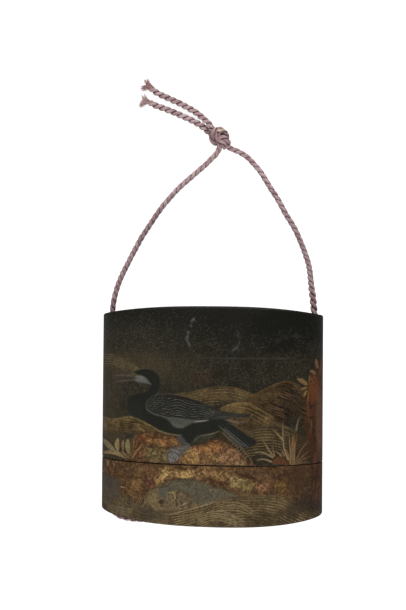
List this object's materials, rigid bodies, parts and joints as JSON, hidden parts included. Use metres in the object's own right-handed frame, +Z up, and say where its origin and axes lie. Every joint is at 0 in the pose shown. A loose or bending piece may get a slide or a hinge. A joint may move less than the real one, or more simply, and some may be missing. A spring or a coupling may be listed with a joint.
{
  "type": "inro case",
  "caption": "Wide oval stacking case with an arched lid, middle and bottom section, threaded on a knotted cord, lying on its back.",
  "frame": {"origin": "on the surface it lies on, under the middle of the case; the cord isn't counted", "axes": "+Z up out of the decorated face, +Y from the base to the lid, +X to the right as the face is looked at"},
  "size_m": [0.075, 0.1559, 0.0298],
  "materials": {
    "painted_lacquer": "polished dark brown-black lacquer on a wooden core, sprinkled with gold, with a flat painted picture",
    "silk_cord": "twisted dusty mauve silk cord, matt with a slight sheen"
  },
  "bodies": {
    "root": {"lid": "painted_lacquer", "middle_case": "painted_lacquer", "bottom_case": "painted_lacquer", "cord_through_case": "silk_cord", "cord_left_leg": "silk_cord", "cord_right_leg": "silk_cord", "cord_knot": "silk_cord", "cord_upper_tail": "silk_cord", "cord_lower_tail": "silk_cord"}
  },
  "joints": []
}
